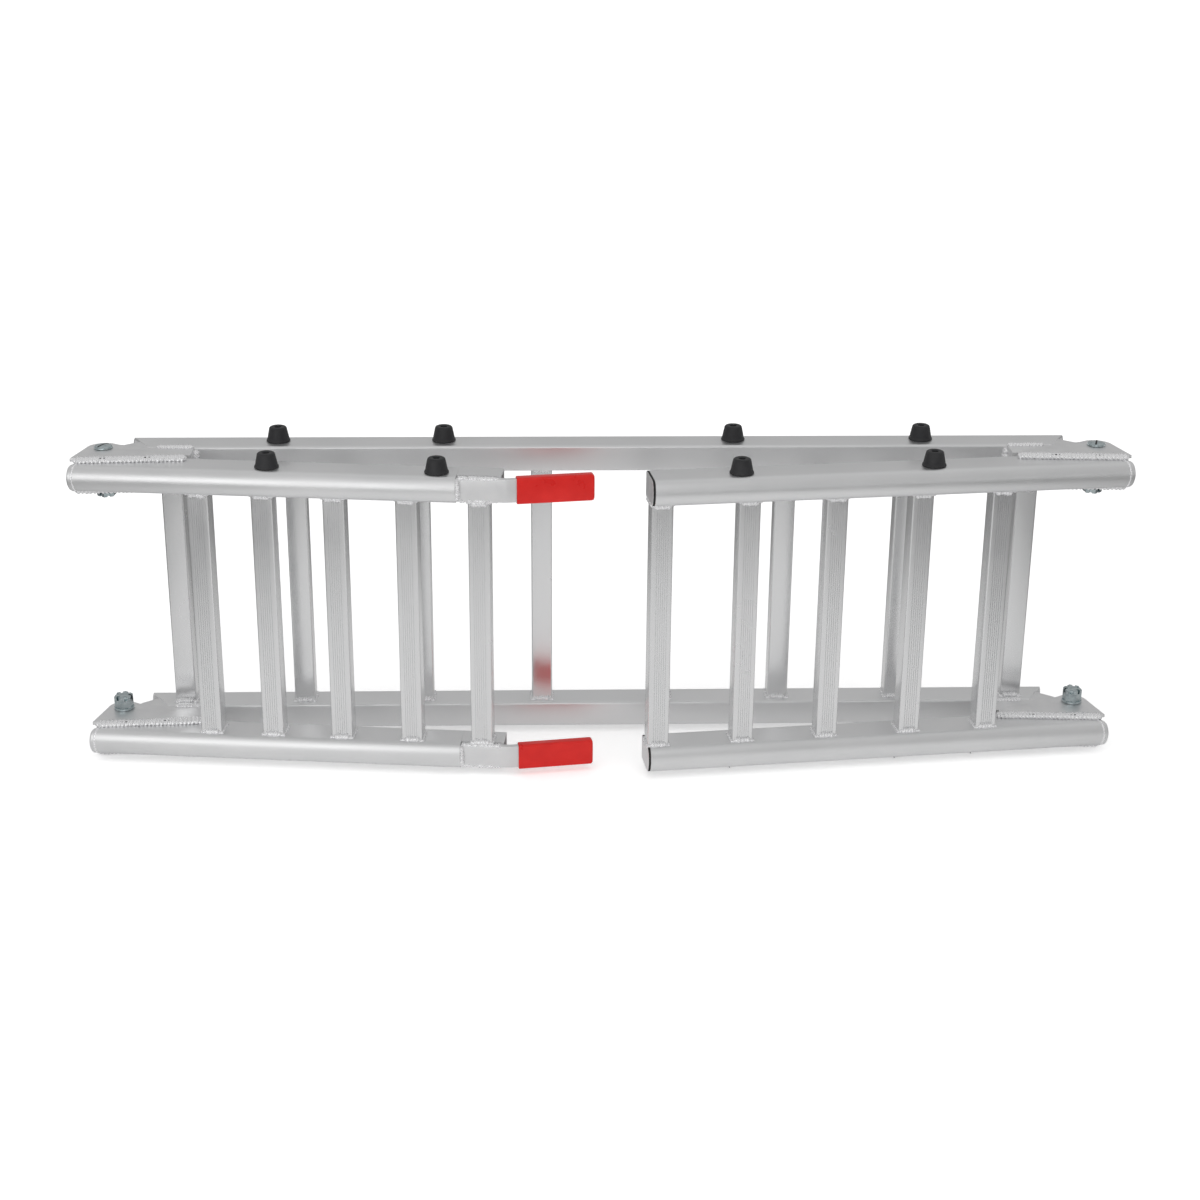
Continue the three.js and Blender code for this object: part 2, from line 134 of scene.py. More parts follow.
# Fingers and their sleeves
FINGER_HEIGHT = 22.0
FINGER_THICKNESS = 5.5
FINGER_FACE = 31.5
FINGER_START = 337.0
FINGER_BEND = 383.0
FINGER_TIP = 457.0
FINGER_ANGLE = math.radians(15)
FINGER_BEND_RADIUS = 12.0
SLEEVE_START = 391.0
SLEEVE_TIP = 460.0
SLEEVE_PROUD = 2.0

# Rubber bumpers, as radius and height pairs
BUMPER_DEPTH = 20.0
BUMPER_PROFILE = [
    (0, 0), (11.0, 0), (11.2, 0.3), (11.25, 0.9), (11.0, 1.6), (10.5, 2.3), (10.2, 3.2), (9.7, 5.8),
    (8.5, 11.6), (8.2, 12.8), (7.6, 13.6), (6.8, 14), (4.2, 14), (3.3, 13.6), (3.0, 12.8), (3, 6.2), (0, 6.2),
]

# Weld beads: radius and crescent pitch, and how flat and how ragged each is as a share of its radius
RUNG_LOOP_BEAD = {"radius": 1.9, "pitch": 2.4, "ragged": 0.16}
RUNG_FACE_BEAD = {"radius": 3.0, "pitch": 2.8, "ragged": 0.24}
PLATE_BEAD = {"radius": 4.8, "pitch": 3.7, "flat": 0.66, "ragged": 0.1}
LUG_SEAM_BEAD = {"radius": 2.8, "pitch": 3.0, "flat": 0.42, "ragged": 0.12}
LUG_EDGE_BEAD = {"radius": 2.9, "pitch": 3.2, "flat": 0.6, "ragged": 0.12}
LUG_END_BEAD = {"radius": 4.0, "pitch": 3.4, "ragged": 0.2}
FINGER_START_BEAD = {"radius": 3.7, "pitch": 3.6, "ragged": 0.24}
FINGER_EDGE_BEAD = {"radius": 2.5, "pitch": 3.0, "ragged": 0.24}
CAP_SEAM_BEAD = {"radius": 1.0, "pitch": 3.0, "flat": 0.4, "ragged": 0.25}
BEAD_STEP = 0.6
BEAD_SIDES = 10
BEAD_WANDER_STEPS = 4
BEAD_CRESCENT_LAG = 0.45
BEAD_BASE = 0.80
BEAD_RIPPLE = 0.3

# Metals
ALUMINIUM_TONE = 0.88
RAIL_ROUGHNESS = 0.40
RUNG_ROUGHNESS = 0.24
DIE_LINE_STRETCH = 400

# Floor, dome, suns and softboxes, in metres and degrees
FLOOR_HALF_SIZE = 40.0
FLOOR_TONE = 0.93
FLOOR_GLOW = 0.36
DOME_LEVEL = 0.40
DOME_RISE = 0.19
BACKDROP_LEVEL = 1.0
SUN_SPREAD = 100
SUN_DISTANCE = 3
# Each sun: name, azimuth and elevation, strength
SUNS = [("key", (-35, 50), 0.9), ("fill", (40, 60), 0.4)]
# Each softbox: name, left, right, distance in front, low, high, strength
SOFTBOXES = [
    ("left_softbox", -1.6, -0.42, 1.0, 0.08, 0.6, 1.5),
    ("front_softbox", -0.75, 0.5, 2.4, 0.8, 2.2, 1.2),
]

# Pool of light on the floor as the metal sees it, in metres: it fades evenly from its centre outwards
POOL_CENTRE = (0.0, -0.20, 0.0)
POOL_INNER = 0.35
POOL_OUTER = 0.95
POOL_SHADE_INSIDE = 0.38
POOL_SHADE_OUTSIDE = 0.80
SHADE_HALF_SIZE = 3.0
SHADE_LIFT = 0.0004

# Camera, in the row frame
CAMERA_PLACE = (-0.07345, -1.86316, 0.87957)
CAMERA_YAW = math.radians(2.150)
CAMERA_PITCH = math.radians(21.238)
CAMERA_ROLL = math.radians(0.464)
CAMERA_LENS = 62.98
SENSOR_WIDTH = 36.0


# ---------------------------------------------------------------- outlines

def arc(centre, radius, start, end, steps):
    """Points round centre from the start angle to the end angle, in degrees."""
    points = []
    for step in range(steps + 1):
        angle = math.radians(start + (end - start) * step / steps)
        points.append((centre[0] + radius * math.cos(angle), centre[1] + radius * math.sin(angle)))
    return points


def rail_outline(inset):
    """The D-shaped outline moved inwards by inset, as depth and height pairs."""
    reach = RAIL_CROWN_RADIUS - RAIL_SHOULDER_RADIUS
    offset = RAIL_HEIGHT / 2 - RAIL_SHOULDER_RADIUS
    crown = (RAIL_DEPTH - RAIL_CROWN_RADIUS, RAIL_HEIGHT / 2)
    shoulder = crown[0] + math.sqrt(reach**2 - offset**2)
    turn = math.degrees(math.asin(offset / reach))
    back_radius = max(RAIL_BACK_RADIUS - inset, 0.3)
    back = inset + back_radius
    side = RAIL_SHOULDER_RADIUS - inset
    high = RAIL_HEIGHT - RAIL_SHOULDER_RADIUS
    return [
        *arc((back, back), back_radius, 180, 270, 6),
        *arc((shoulder, RAIL_SHOULDER_RADIUS), side, -90, -turn, 10),
        *arc(crown, RAIL_CROWN_RADIUS - inset, -turn, turn, 20)[1:-1],
        *arc((shoulder, high), side, turn, 90, 10),
        *arc((back, RAIL_HEIGHT - back), back_radius, 90, 180, 6),
    ]


def rung_outline():
    """Rounded square outline with grooves cut into its tread side."""
    side = RUNG_WIDTH / 2 - RUNG_RADIUS
    low = RUNG_UNDERSIDE + RUNG_RADIUS
    high = RUNG_TREAD - RUNG_RADIUS
    points = [
        *arc((-side, low), RUNG_RADIUS, 180, 270, 5),
        *arc((side, low), RUNG_RADIUS, -90, 0, 5),
        *arc((side, high), RUNG_RADIUS, 0, 90, 5),
    ]
    first = (RIB_GROOVES - 1) * RIB_PITCH / 2
    for groove in range(RIB_GROOVES):
        centre = first - groove * RIB_PITCH
        for step in (0.32, 0.2, -0.2, -0.32):
            depth = 0 if abs(step) > 0.3 else RIB_DEPTH
            points.append((centre + step * RIB_PITCH, RUNG_TREAD - depth))
    points += arc((-side, high), RUNG_RADIUS, 90, 180, 5)
    return points


def plate_outline():
    """Hinge plate: a round lobe about the bolt, narrowing to a point along the rail."""
    lobe = arc((0, -PIVOT_DEPTH), PLATE_LOBE_RADIUS, 180, 285, 24)
    return [*lobe, *PLATE_NECK, *PLATE_WELD_EDGE]


def lug_outline():
    """Lug: a round lobe about the bolt, with a foot against the middle rail's mitred end."""
    foot = MIDDLE_MITRE_START - GAP
    return [
        *arc((0, -PIVOT_DEPTH), LUG_LOBE_RADIUS, 45, 270, 36),
        (LUG_END, -LUG_FRONT),
        (LUG_END, -GAP),
        (foot + MITRE_SLOPE * GAP, -GAP),
        (foot - MITRE_SLOPE * LUG_TOP, LUG_TOP),
        LUG_WAIST,
    ]


def finger_line(start, tip):
    """Centre line of the bar in length and depth, with a rounded bend."""
    middle = FINGER_FACE - FINGER_THICKNESS / 2
    half = FINGER_BEND_RADIUS * math.tan(FINGER_ANGLE / 2)
    points = []
    if start < FINGER_BEND - half:
        points.append((start, middle))
    for step in range(9):
        angle = FINGER_ANGLE * step / 8
        along = FINGER_BEND - half + FINGER_BEND_RADIUS * math.sin(angle)
        depth = middle - FINGER_BEND_RADIUS * (1 - math.cos(angle))
        if along > start:
            points.append((along, depth))
    run = tip - FINGER_BEND
    points.append((tip, middle - run * math.tan(FINGER_ANGLE)))
    if start >= FINGER_BEND - half:
        run = start - FINGER_BEND
        points = [(start, middle - run * math.tan(FINGER_ANGLE)), points[-1]]
    return points


# ---------------------------------------------------------------- meshes

class Shape:
    """Vertices and faces in millimetres, gathered into one mesh."""

    def __init__(self):
        self.vertices = []
        self.faces = []

    def loft(self, rings, closed=False, caps=False):
        """Joins rings of equal length; closed also joins the last ring to the first."""
        base = len(self.vertices)
        count = len(rings[0])
        for ring in rings:
            self.vertices.extend(ring)
        last = len(rings) if closed else len(rings) - 1
        for level in range(last):
            here = base + level * count
            there = base + ((level + 1) % len(rings)) * count
            for index in range(count):
                after = (index + 1) % count
                self.faces.append((here + index, here + after, there + after, there + index))
        if caps:
            top = base + (len(rings) - 1) * count
            self.faces.append(tuple(reversed(range(base, base + count))))
            self.faces.append(tuple(range(top, top + count)))
        return self

    def build(self, name, place, material, body, slot, replaces=(), smooth=32, bevel=0.0):
        """Makes the Blender piece at place, rides it on body and hides the CAD nodes it replaces. The slot
        argument is not used.
        """
        mesh = bpy.data.meshes.new(name)
        scaled = [(x * MM, y * MM, z * MM) for x, y, z in self.vertices]
        mesh.from_pydata(scaled, [], self.faces)
        work = bmesh.new()
        work.from_mesh(mesh)
        bmesh.ops.recalc_face_normals(work, faces=work.faces)
        if bevel:
            sharp = [edge for edge in work.edges if edge.calc_face_angle(0) > math.radians(40)]
            bmesh.ops.bevel(
                work, geom=sharp, offset=bevel * MM, segments=2, profile=0.7,
                affect="EDGES", clamp_overlap=True,
            )
        work.to_mesh(mesh)
        work.free()
        mesh.shade_smooth()
        mesh.set_sharp_from_angle(angle=math.radians(smooth))
        mesh.materials.append(material)
        piece = bpy.data.objects.new(name, mesh)
        bpy.context.scene.collection.objects.link(piece)
        piece.matrix_world = place
        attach(piece, body)
        if replaces:
            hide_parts(*replaces)
        return piece


def mitred(outline, at, slope):
    """Ring of an outline at a station along the rail, slanted across its depth by slope."""
    return [(at + slope * depth, depth, height) for depth, height in outline]


def rail_shape(start, start_slope, end, end_slope, rail_z):
    """Hollow rail between two mitred ends, with a small chamfer on each rim."""
    outer = rail_outline(0)
    rim = rail_outline(RAIL_RIM)
    inner = rail_outline(RAIL_WALL)
    rings = [
        mitred(outer, start + RAIL_RIM, start_slope),
        mitred(rim, start, start_slope),
        mitred(inner, start, start_slope),
        mitred(inner, end, end_slope),
        mitred(rim, end, end_slope),
        mitred(outer, end - RAIL_RIM, end_slope),
    ]
    lifted = [[(x, y, z + rail_z) for x, y, z in ring] for ring in rings]
    return Shape().loft(lifted, closed=True)


def capped_rail_shape(hinge_end, slope, free_end, direction, rail_z):
    """Rail closed by a rounded cap across its mitred hinge end and open at its free end."""
    rings = []
    for step in range(6):
        angle = math.radians(90 * step / 5)
        inset = RAIL_CAP_ROUNDING * (1 - math.sin(angle))
        back = RAIL_CAP_ROUNDING * (1 - math.cos(angle))
        rings.append(mitred(rail_outline(inset), hinge_end + direction * back, slope))
    rings.append(mitred(rail_outline(0), free_end - direction * RAIL_RIM, 0))
    rings.append(mitred(rail_outline(RAIL_RIM), free_end, 0))
    inner = rail_outline(RAIL_WALL)
    rings.append(mitred(inner, free_end, 0))
    rings.append(mitred(inner, hinge_end + direction * RAIL_CAP, slope))
    lifted = [[(x, y, z + rail_z) for x, y, z in ring] for ring in rings]
    return Shape().loft(lifted, caps=True)


def slab(shape, outline, low, high):
    """Adds a flat solid between two heights to shape."""
    shape.loft([[(x, y, low) for x, y in outline], [(x, y, high) for x, y in outline]], caps=True)
    return shape


def bored_slab(outline, centre, low, high):
    """Slab with a bolt hole through it."""
    bore = arc(centre, BOLT_RADIUS + BOLT_CLEARANCE, 0, 360, 48)[:-1]
    shape = Shape()
    for ring in (outline, bore):
        shape.loft([[(x, y, low) for x, y in ring], [(x, y, high) for x, y in ring]])
    outer, inner = len(outline), len(bore)
    lows = [*range(outer), *range(2 * outer, 2 * outer + inner)]
    highs = [*range(outer, 2 * outer), *range(2 * outer + inner, 2 * (outer + inner))]
    flat = [[Vector((x, y, 0)) for x, y in ring] for ring in (outline, bore)]
    for triangle in tessellate_polygon(flat):
        shape.faces.append(tuple(lows[index] for index in triangle))
        shape.faces.append(tuple(highs[index] for index in reversed(triangle)))
    return shape


def lathe(profile, place, segments=48):
    """Solid of revolution about z; place maps a point of it into the section frame."""
    shape = Shape()
    rings = []
    for radius, height in profile:
        radius = max(radius, 0.01)
        ring = []
        for step in range(segments):
            angle = math.tau * step / segments
            ring.append(place((radius * math.cos(angle), radius * math.sin(angle), height)))
        rings.append(ring)
    return shape.loft(rings, caps=True)


def resample(path, step, closed):
    """Points about every step along a polyline."""
    corners = [Vector(point) for point in path]
    if closed:
        corners.append(corners[0])
    samples = []
    for here, there in zip(corners, corners[1:]):
        length = (there - here).length
        count = max(1, round(length / step))
        for index in range(count):
            samples.append(here.lerp(there, index / count))
    if not closed:
        samples.append(corners[-1])
    return samples


def bead(shape, path, lift, rng, radius, pitch, ragged, flat=0.8, closed=False):
    """Weld bead along path: overlapping crescents, raised along lift(point)."""
    samples = resample(path, BEAD_STEP, closed)
    count = len(samples)
    phase = rng.uniform(0, math.tau)
    wander = [rng.uniform(-1, 1) for _ in range(count // BEAD_WANDER_STEPS + 3)]
    rings = []
    for index, point in enumerate(samples):
        before = samples[index - 1] if index or closed else point
        after = samples[(index + 1) % count] if index < count - 1 or closed else point
        along = (after - before).normalized()
        up = Vector(lift(point)).normalized()
        across = along.cross(up).normalized()
        low = index // BEAD_WANDER_STEPS
        part = (index % BEAD_WANDER_STEPS) / BEAD_WANDER_STEPS
        drift = wander[low] * (1 - part) + wander[low + 1] * part
        taper = 1.0
        if not closed:
            edge = min(index, count - 1 - index) * BEAD_STEP / radius
            taper = math.sqrt(max(0.04, 1 - max(0.0, 1 - edge) ** 2))
        ring = []
        for side in range(BEAD_SIDES):
            angle = math.tau * side / BEAD_SIDES
            travelled = index * BEAD_STEP + BEAD_CRESCENT_LAG * pitch * math.cos(angle)
            ripple = 0.5 + 0.5 * math.cos(math.tau * travelled / pitch + phase)
            size = radius * taper * (BEAD_BASE + BEAD_RIPPLE * ripple + ragged * drift)
            offset = up * (math.cos(angle) * flat) + across * math.sin(angle)
            ring.append(tuple(point + offset * size))
        rings.append(ring)
    shape.loft(rings, closed=closed, caps=not closed)


# ---------------------------------------------------------------- materials

def node_material(name, metallic, roughness, colour):
    """Principled material; returns it with its tree and shader."""
    material = bpy.data.materials.new(name)
    material.use_nodes = True
    shader = material.node_tree.nodes["Principled BSDF"]
    shader.inputs["Metallic"].default_value = metallic
    shader.inputs["Roughness"].default_value = roughness
    shader.inputs["Base Color"].default_value = (*colour, 1)
    return material, material.node_tree, shader


def noise(tree, stretch, scale, detail=4.0, roughness=0.55):
    """Noise in object coordinates, stretched by dividing each axis by stretch."""
    nodes, links = tree.nodes, tree.links
    coordinates = nodes.new("ShaderNodeTexCoord")
    mapping = nodes.new("ShaderNodeMapping")
    mapping.inputs["Scale"].default_value = [1 / value for value in stretch]
    texture = nodes.new("ShaderNodeTexNoise")
    texture.inputs["Scale"].default_value = scale
    texture.inputs["Detail"].default_value = detail
    texture.inputs["Roughness"].default_value = roughness
    links.new(coordinates.outputs["Object"], mapping.inputs["Vector"])
    links.new(mapping.outputs["Vector"], texture.inputs["Vector"])
    return texture.outputs["Fac"]


def ramp(tree, source, low, high, start=0.3, end=0.7):
    """Maps source between two greys or two colours."""
    node = tree.nodes.new("ShaderNodeValToRGB")
    node.color_ramp.elements[0].position = start
    node.color_ramp.elements[1].position = end
    node.color_ramp.elements[0].color = (*low, 1) if isinstance(low, tuple) else (low, low, low, 1)
    node.color_ramp.elements[1].color = (*high, 1) if isinstance(high, tuple) else (high, high, high, 1)
    tree.links.new(source, node.inputs["Fac"])
    return node.outputs["Color"]


def bump(tree, shader, source, distance, strength=1.0):
    """Adds a bump from source on top of any bump the shader already has."""
    node = tree.nodes.new("ShaderNodeBump")
    node.inputs["Strength"].default_value = strength
    node.inputs["Distance"].default_value = distance
    previous = shader.inputs["Normal"].links
    if previous:
        tree.links.new(previous[0].from_socket, node.inputs["Normal"])
    tree.links.new(source, node.inputs["Height"])
    tree.links.new(node.outputs["Normal"], shader.inputs["Normal"])


def extruded_aluminium(name, stretch, tone, roughness):
    """Mill-finish extrusion with die lines along its length."""
    material, tree, shader = node_material(name, 1.0, roughness, (tone, tone, tone))
    lines = noise(tree, stretch, 1500, detail=2)
    cloud = noise(tree, (1, 1, 1), 14, detail=5)
    tree.links.new(
        ramp(tree, cloud, (tone * 0.95, tone * 0.955, tone * 0.96), (tone, tone, tone * 1.005)),
        shader.inputs["Base Color"],
    )
    tree.links.new(ramp(tree, cloud, roughness - 0.04, roughness + 0.04), shader.inputs["Roughness"])
    bump(tree, shader, lines, 0.00002, 0.12)
    bump(tree, shader, cloud, 0.0004, 0.05)
    return material


def plate_aluminium():
    """Dull rolled plate, mottled and lightly scratched."""
    tone = 0.90
    material, tree, shader = node_material("plate_aluminium", 1.0, 0.45, (tone, tone, tone))
    mottling = noise(tree, (1, 1, 1), 60, detail=6)
    scratches = noise(tree, (18, 1, 1), 700, detail=2)
    tree.links.new(
        ramp(tree, mottling, (tone * 0.93, tone * 0.93, tone * 0.94), (tone, tone, tone)),
        shader.inputs["Base Color"],
    )
    tree.links.new(ramp(tree, mottling, 0.38, 0.52), shader.inputs["Roughness"])
    bump(tree, shader, mottling, 0.0003, 0.25)
    bump(tree, shader, scratches, 0.00003, 0.3)
    return material


def weld_aluminium():
    """Bright, pitted weld metal."""
    tone = 0.96
    material, tree, shader = node_material("weld_aluminium", 0.75, 0.25, (tone, tone, tone))
    pitting = noise(tree, (1, 1, 1), 900, detail=3)
    tree.links.new(
        ramp(tree, pitting, (tone * 0.86, tone * 0.86, tone * 0.88), (tone, tone, tone)),
        shader.inputs["Base Color"],
    )
    tree.links.new(ramp(tree, pitting, 0.2, 0.38), shader.inputs["Roughness"])
    bump(tree, shader, pitting, 0.0002, 0.35)
    return material


def zinc_steel():
    """Zinc-plated steel with a patchy blue-grey sheen."""
    material, tree, shader = node_material("zinc_steel", 1.0, 0.2, (0.50, 0.57, 0.59))
    patches = noise(tree, (1, 1, 1), 260, detail=4)
    tree.links.new(
        ramp(tree, patches, (0.36, 0.43, 0.45), (0.62, 0.68, 0.69)), shader.inputs["Base Color"]
    )
    tree.links.new(ramp(tree, patches, 0.12, 0.24), shader.inputs["Roughness"])
    bump(tree, shader, patches, 0.00005, 0.3)
    return material


def black_rubber():
    """Matt rubber with a little dust."""
    material, tree, shader = node_material("black_rubber", 0.0, 0.55, (0.012, 0.012, 0.014))
    grain = noise(tree, (1, 1, 1), 1800, detail=2)
    dust = noise(tree, (1, 1, 1), 120, detail=5)
    tree.links.new(
        ramp(tree, dust, (0.008, 0.008, 0.010), (0.020, 0.020, 0.022)), shader.inputs["Base Color"]
    )
    tree.links.new(ramp(tree, dust, 0.45, 0.65), shader.inputs["Roughness"])
    bump(tree, shader, grain, 0.00005, 0.3)
    return material


def red_vinyl():
    """Dipped vinyl with a faint coat and an uneven skin."""
    material, tree, shader = node_material("red_vinyl", 0.0, 0.3, (0.55, 0.014, 0.011))
    shader.inputs["Specular IOR Level"].default_value = 0.3
    shader.inputs["Coat Weight"].default_value = 0.12
    shader.inputs["Coat Roughness"].default_value = 0.12
    shader.inputs["Subsurface Weight"].default_value = 0.04
    shader.inputs["Subsurface Radius"].default_value = (0.002, 0.0006, 0.0004)
    cloud = noise(tree, (1, 1, 1), 50, detail=4)
    skin = noise(tree, (1, 1, 1), 500, detail=3)
    tree.links.new(
        ramp(tree, cloud, (0.56, 0.006, 0.004), (0.66, 0.012, 0.008)), shader.inputs["Base Color"]
    )
    tree.links.new(ramp(tree, cloud, 0.24, 0.38), shader.inputs["Roughness"])
    bump(tree, shader, cloud, 0.0003, 0.12)
    bump(tree, shader, skin, 0.00006, 0.2)
    return material


def seal_black_and_slot_shade():
    """Matt black of the end plugs; on the strips that stand for the slots it is painted shade."""
    material, tree, shader = node_material("seal_black_and_slot_shade", 0.0, 0.7, (0.01, 0.01, 0.01))
    grain = noise(tree, (1, 1, 1), 1500, detail=2)
    tree.links.new(
        ramp(tree, grain, (0.006, 0.006, 0.006), (0.016, 0.016, 0.016)), shader.inputs["Base Color"]
    )
    bump(tree, shader, grain, 0.00005, 0.3)
    return material


# ---------------------------------------------------------------- the frame and its sections

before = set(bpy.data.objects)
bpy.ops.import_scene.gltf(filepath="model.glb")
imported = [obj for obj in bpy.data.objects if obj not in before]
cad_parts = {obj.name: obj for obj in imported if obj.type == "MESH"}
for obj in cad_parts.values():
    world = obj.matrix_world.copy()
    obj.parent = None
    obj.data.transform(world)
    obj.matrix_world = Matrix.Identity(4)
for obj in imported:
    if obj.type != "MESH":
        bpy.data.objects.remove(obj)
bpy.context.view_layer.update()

rail_low, rail_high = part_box("middle_lower_rail")
MIDDLE_PLACE = Matrix.Translation(((rail_low.x + rail_high.x) / 2, rail_low.y, rail_low.z))


def folding_place(side, rotation):
    """Place of a folding section, turned about its hinge on one side of the middle section."""
    pivot = MIDDLE_PLACE @ Vector((side * PIVOT_SPREAD * MM, -PIVOT_DEPTH * MM, 0))
    turn = Matrix.Rotation(rotation, 4, "Z")
    return Matrix.Translation(pivot) @ turn @ Matrix.Translation((0, PIVOT_DEPTH * MM, 0))


RAIL = extruded_aluminium("rail_aluminium", (DIE_LINE_STRETCH, 1, 1), ALUMINIUM_TONE, RAIL_ROUGHNESS)
RUNG = extruded_aluminium("rung_aluminium", (1, 1, DIE_LINE_STRETCH), ALUMINIUM_TONE, RUNG_ROUGHNESS)
PLATE = plate_aluminium()
WELD = weld_aluminium()
ZINC = zinc_steel()
RUBBER = black_rubber()
VINYL = red_vinyl()
# Real black for the end plugs, painted shade for the slots of the bolt heads, plate welds and rungs
BLACK_AND_SLOT_SHADE = seal_black_and_slot_shade()

# For each section, named as its body: its place, and which end of the middle section it is hinged to
SECTIONS = {
    "middle": (MIDDLE_PLACE, 0),
    "truck": (folding_place(-1, math.pi - TRUCK_SPLAY), -1),
    "ground": (folding_place(1, math.pi + GROUND_SPLAY), 1),
}


def finish_piece(shape, node, material, slot, section, **options):
    """Piece that stands for a CAD node."""
    place = SECTIONS[section][0]
    return shape.build(f"{node}_finished", place, material, section, slot, (node,), **options)


def detail_piece(shape, name, material, slot, section, **options):
    """Piece that has no CAD node of its own."""
    place = SECTIONS[section][0]
    return shape.build(name, place, material, section, slot, **options)


def add_rungs(section, positions):
    """Rungs at the given stations, with a bead round each end and a heavier one on two sides."""
    outline = rung_outline()
    welds = Shape()
    rng = random.Random(SEED + len(positions))
    for index, x in enumerate(positions):
        shape = Shape()
        low = [(x + px, py, RAIL_HEIGHT) for px, py in outline]
        high = [(x + px, py, UPPER_RAIL_Z) for px, py in outline]
        shape.loft([low, high], caps=True)
        finish_piece(shape, f"{section}_rung_{index + 1}", RUNG, "rung_aluminium", section, smooth=28)
        for z, up in ((RAIL_HEIGHT, 1), (UPPER_RAIL_Z, -1)):
            half = RUNG_WIDTH / 2 + 0.3
            near = RUNG_UNDERSIDE - 0.3
            far = RUNG_TREAD + 0.3
            loop = [(x - half, near, z), (x + half, near, z), (x + half, far, z), (x - half, far, z)]
            centre = Vector((x, (near + far) / 2, z))

            def lift(point, centre=centre, up=up):
                away = (point - centre).normalized()
                return away + Vector((0, 0, up))

            bead(welds, loop, lift, rng, closed=True, **RUNG_LOOP_BEAD)
            for depth, outward in ((far, 1), (near, -1)):
                face = [(x - 8, depth, z + up * 1.2), (x + 8, depth, z + up * 1.2)]
                slant = Vector((0, outward, up))
                bead(welds, face, lambda _, slant=slant: slant, rng, **RUNG_FACE_BEAD)
    detail_piece(welds, f"{section}_rung_welds", WELD, "rung_aluminium", section, smooth=60)


def add_bumpers(section, positions):
    for index, x in enumerate(positions):
        shape = lathe(
            BUMPER_PROFILE,
            lambda point, x=x: (point[0] + x, point[1] + BUMPER_DEPTH, point[2] + WIDTH),
        )
        finish_piece(shape, f"{section}_bumper_{index + 1}", RUBBER, "black_rubber", section, smooth=40)


def bolt_shape(length, to_section):
    """Bolt with a low domed head on a plain shank."""
    profile = [
        (0, -length), (BOLT_RADIUS - 0.8, -length), (BOLT_RADIUS, 0.8 - length), (BOLT_RADIUS, 0),
        (BOLT_HEAD_RADIUS, 0), (BOLT_HEAD_RADIUS, 1.0),
        (BOLT_HEAD_RADIUS - BOLT_HEAD_EDGE, BOLT_HEAD_SIDE),
    ]
    for step in range(1, 9):
        angle = math.radians(90 * step / 8)
        radius = (BOLT_HEAD_RADIUS - BOLT_HEAD_EDGE) * math.cos(angle * 0.98)
        profile.append((radius, BOLT_HEAD_SIDE + (BOLT_HEAD_HEIGHT - BOLT_HEAD_SIDE) * math.sin(angle)))
    return lathe(profile, to_section)


def head_height(radius):
    """Height of the domed head at a distance from its axis."""
    share = min(1.0, radius / (BOLT_HEAD_RADIUS - BOLT_HEAD_EDGE))
    return BOLT_HEAD_SIDE + (BOLT_HEAD_HEIGHT - BOLT_HEAD_SIDE) * math.sqrt(1 - share * share)


def bolt_slot_shade(place):
    """Black strip of painted shade that stands for the screwdriver slot across the domed head."""
    half = BOLT_SLOT_WIDTH / 2
    reach = BOLT_HEAD_RADIUS - BOLT_SLOT_MARGIN
    turn = math.radians(BOLT_SLOT_TURN)
    rings = []
    for step in range(-8, 9):
        along = reach * step / 8
        top = head_height(abs(along)) + BOLT_SLOT_PROUD
        foot = top - BOLT_SLOT_DEPTH
        ring = []
        for across, height in ((-half, foot), (half, foot), (half, top), (-half, top)):
            x = along * math.cos(turn) - across * math.sin(turn)
            y = along * math.sin(turn) + across * math.cos(turn)
            ring.append(place((x, y, height)))
        rings.append(ring)
    return Shape().loft(rings, caps=True)


def nut_outline(radius_across, slotted):
    """Hexagon by its corner radius, with a slot in each flat if slotted."""
    points = []
    for corner in range(6):
        here = math.radians(60 * corner + 30)
        there = math.radians(60 * corner + 90)
        points.append((radius_across * math.cos(here), radius_across * math.sin(here)))
        if slotted:
            middle = (here + there) / 2
            reach = radius_across * math.cos(math.radians(30))
            along = (-math.sin(middle), math.cos(middle))
            out = (math.cos(middle), math.sin(middle))
            bottom = BOLT_RADIUS + 0.3
            for distance, side in ((reach, -1), (bottom, -1), (bottom, 1), (reach, 1)):
                points.append((
                    out[0] * distance + along[0] * side * NUT_SLOT_WIDTH / 2,
                    out[1] * distance + along[1] * side * NUT_SLOT_WIDTH / 2,
                ))
    return points


def nut_shape(seat, to_section):
    """Castle nut hanging below seat, with its crown cut by six slots."""
    corner = NUT_ACROSS_FLATS / 2 / math.cos(math.pi / 6)
    shape = lathe(
        [(0, seat - NUT_FLANGE_THICKNESS), (NUT_FLANGE_RADIUS - 0.4, seat - NUT_FLANGE_THICKNESS),
         (NUT_FLANGE_RADIUS, seat - NUT_FLANGE_THICKNESS + 0.4), (NUT_FLANGE_RADIUS, seat), (0, seat)],
        to_section,
    )
    plain = nut_outline(corner, False)
    body_end = seat - NUT_HEIGHT + NUT_SLOT_DEPTH
    body = [[to_section((x, y, z)) for x, y in plain] for z in (seat - NUT_FLANGE_THICKNESS, body_end)]
    shape.loft(body, caps=True)
    crown = nut_outline(corner, True)
    tip = [(x * 0.93, y * 0.93) for x, y in crown]
    rings = [
        [to_section((x, y, body_end)) for x, y in crown],
        [to_section((x, y, seat - NUT_HEIGHT + 1)) for x, y in crown],
        [to_section((x, y, seat - NUT_HEIGHT)) for x, y in tip],
    ]
    shape.loft(rings, caps=True)
    return shape


